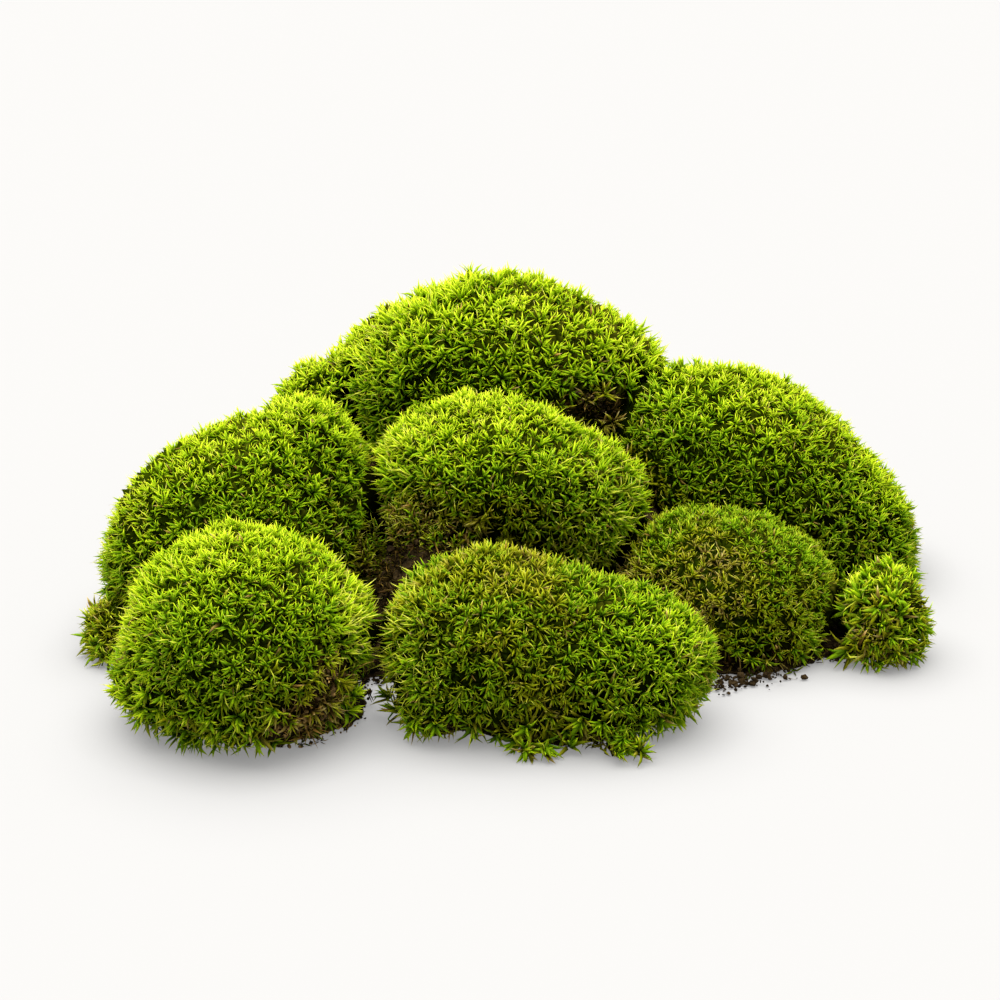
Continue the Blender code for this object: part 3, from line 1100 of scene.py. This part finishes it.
class MOSS_OT_litter(bpy.types.Operator):
    """Lay dead shoots, a few living ones and rootlets on the soil that shows"""

    bl_idname = "moss.litter"
    bl_label = "Dead Growth"

    @staticmethod
    def stems(rng):
        """Half-dead upright stems where the edge of a cushion has broken away."""
        seats, ways = [], []
        for name in ("centre_cushion", "left_cushion"):
            found, outward = scatter(surfaces()[name], STEM_SPACING, rng)
            worn = bareness(name, found) > 0.25
            seats.append(found[worn] - outward[worn] * 0.003 - [0, 0, 0.009])
            ways.append(outward[worn] * 0.25 + [0, 0, 1])
        seats, ways = np.concatenate(seats), np.concatenate(ways)
        ways = unit(ways + rng.normal(0, 0.18, ways.shape))
        return seats, ways, rng.normal(0.33, 0.07, len(seats))

    def execute(self, context):
        rng = np.random.default_rng(LITTER_SEED)
        settings = context.scene.moss_settings
        points, normals = bare_soil(settings.litter_spacing, rng)
        count = len(points)
        tones = np.where(rng.random(count) < 0.65, DEAD, STRAW) + rng.normal(0, 0.04, count)
        living = rng.random(count) < 0.2
        tones = np.where(living, OLIVE + rng.normal(0.02, 0.07, count), tones)
        ways = unit(normals + rng.normal(0, 0.45, normals.shape) + [0, 0, 0.15])
        sizes = LITTER_LENGTH * rng.uniform(0.6, 1.25, count)
        splays = np.full(count, math.radians(42))
        seats = points - normals * 0.0008
        dry = np.linalg.norm(points - np.array(DRY_CORNER), axis=1) < DRY_REACH
        layers = []
        # Half the dry litter is darker at random. Away from the dry corner all litter stops lower on
        # the palette, darker as painted shade in the crevices.
        dark = rng.random(count) < 0.45
        for chosen, shade in ((dry & ~dark, 1.0), (dry & dark, 0.30), (~dry, 0.45)):
            layers.append(grow_shoots(
                seats[chosen], ways[chosen], sizes[chosen], tones[chosen], splays[chosen], rng,
                WITHERED._replace(shade=shade), settings.leaf_width, settings.leaf_curl * 2.6,
            ))

        # Dead leaves lie flat and curled on the dried corner.
        flat = dry & (rng.random(count) < 0.8)
        layers.append(grow_shoots(
            seats[flat], ways[flat], sizes[flat] * 0.8,
            rng.uniform(DEAD, STRAW, flat.sum()), splays[flat], rng, FLAKE,
            settings.leaf_width * 2.0, settings.leaf_curl * 3.4,
        ))

        rooted = rng.random(count) < 0.5
        sizes = ROOTLET_LENGTH * rng.uniform(0.5, 1.3, count)
        layers.append(grow_shoots(
            points[rooted], ways[rooted], sizes[rooted], np.full(rooted.sum(), DEAD),
            splays[rooted] * 1.4, rng, ROOTLET, 0.045, settings.leaf_curl * 2.0,
        ))

        seats, ways, tones = self.stems(rng)
        layers.append(grow_shoots(
            seats, ways, np.full(len(seats), STEM_LENGTH), tones, np.full(len(seats), 0.9), rng,
            STEM, settings.leaf_width, settings.leaf_curl,
        ))
        item = mesh_object("dead_growth", layers, bpy.data.materials["moss_leaves"])
        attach(item, "root")
        return {"FINISHED"}


class MOSS_OT_stage(bpy.types.Operator):
    """Set up the floor, the soft light and the camera"""

    bl_idname = "moss.stage"
    bl_label = "Studio"

    def execute(self, context):
        scene = context.scene
        settings = scene.moss_settings
        bm = bmesh.new()
        bmesh.ops.create_grid(bm, x_segments=1, y_segments=1, size=FLOOR_REACH)
        mesh = bpy.data.meshes.new("studio_floor")
        bm.to_mesh(mesh)
        bm.free()
        mesh.materials.append(floor_material())
        floor = bpy.data.objects.new("studio_floor", mesh)
        floor.location.z = -FLOOR_DROP
        scene.collection.objects.link(floor)

        world = bpy.data.worlds.new("studio")
        world.use_nodes = True
        sky = world.node_tree.nodes["Background"]
        sky.inputs["Color"].default_value = SKY_COLOUR
        sky.inputs["Strength"].default_value = SKY_STRENGTH
        scene.world = world

        sun = bpy.data.lights.new("window", "SUN")
        sun.energy = SUN_STRENGTH
        sun.angle = SUN_SPREAD
        sun.color = SUN_COLOUR
        lamp = bpy.data.objects.new("window", sun)
        lamp.rotation_euler = SUN_TURN
        scene.collection.objects.link(lamp)

        tilt = settings.camera_height
        forward = Vector((0, math.cos(tilt), -math.sin(tilt)))
        camera = bpy.data.cameras.new("camera")
        camera.lens = settings.camera_lens
        camera.sensor_width = SENSOR_WIDTH
        camera.clip_start = 0.01
        view = bpy.data.objects.new("camera", camera)
        view.location = CAMERA_TARGET - forward * settings.camera_distance
        view.rotation_euler = forward.to_track_quat("-Z", "Y").to_euler()
        scene.collection.objects.link(view)
        scene.camera = view
        scene.view_settings.view_transform = "Standard"
        scene.view_settings.look = "None"
        return {"FINISHED"}


class MOSS_PT_panel(bpy.types.Panel):
    """The clump's pieces and settings"""

    bl_idname = "MOSS_PT_panel"
    bl_label = "Moss Clump"
    bl_space_type = "VIEW_3D"
    bl_region_type = "UI"
    bl_category = "Moss"

    def draw(self, context):
        layout = self.layout
        settings = context.scene.moss_settings
        for name in MossSettings.__annotations__:
            layout.prop(settings, name)
        for look in context.scene.moss_looks:
            row = layout.row()
            row.label(text=look.node)
            row.prop(look, "tone")
        for operator in OPERATORS:
            layout.operator(operator.bl_idname)


OPERATORS = (
    MOSS_OT_cushions, MOSS_OT_soil, MOSS_OT_crumbs, MOSS_OT_litter, MOSS_OT_stage,
)
CLASSES = (MossLook, MossSettings, *OPERATORS, MOSS_PT_panel)


def register():
    for item in CLASSES:
        bpy.utils.register_class(item)
    bpy.types.Scene.moss_settings = bpy.props.PointerProperty(type=MossSettings)
    bpy.types.Scene.moss_looks = bpy.props.CollectionProperty(type=MossLook)


def unregister():
    del bpy.types.Scene.moss_looks
    del bpy.types.Scene.moss_settings
    for item in reversed(CLASSES):
        bpy.utils.unregister_class(item)


def main():
    register()
    for name, growth in LOOKS.items():
        look = bpy.context.scene.moss_looks.add()
        look.node = name
        look.leaf_length = growth.leaf * MM
        look.spacing = growth.spacing * MM
        look.splay = math.radians(growth.splay)
        look.tone = growth.tone
        look.wander = growth.wander
        look.star_height = growth.star_height * MM
    bpy.ops.moss.cushions()
    bpy.ops.moss.soil()
    bpy.ops.moss.crumbs()
    bpy.ops.moss.litter()
    bpy.ops.moss.stage()
    bpy.context.view_layer.update()


if __name__ == "__main__":
    main()
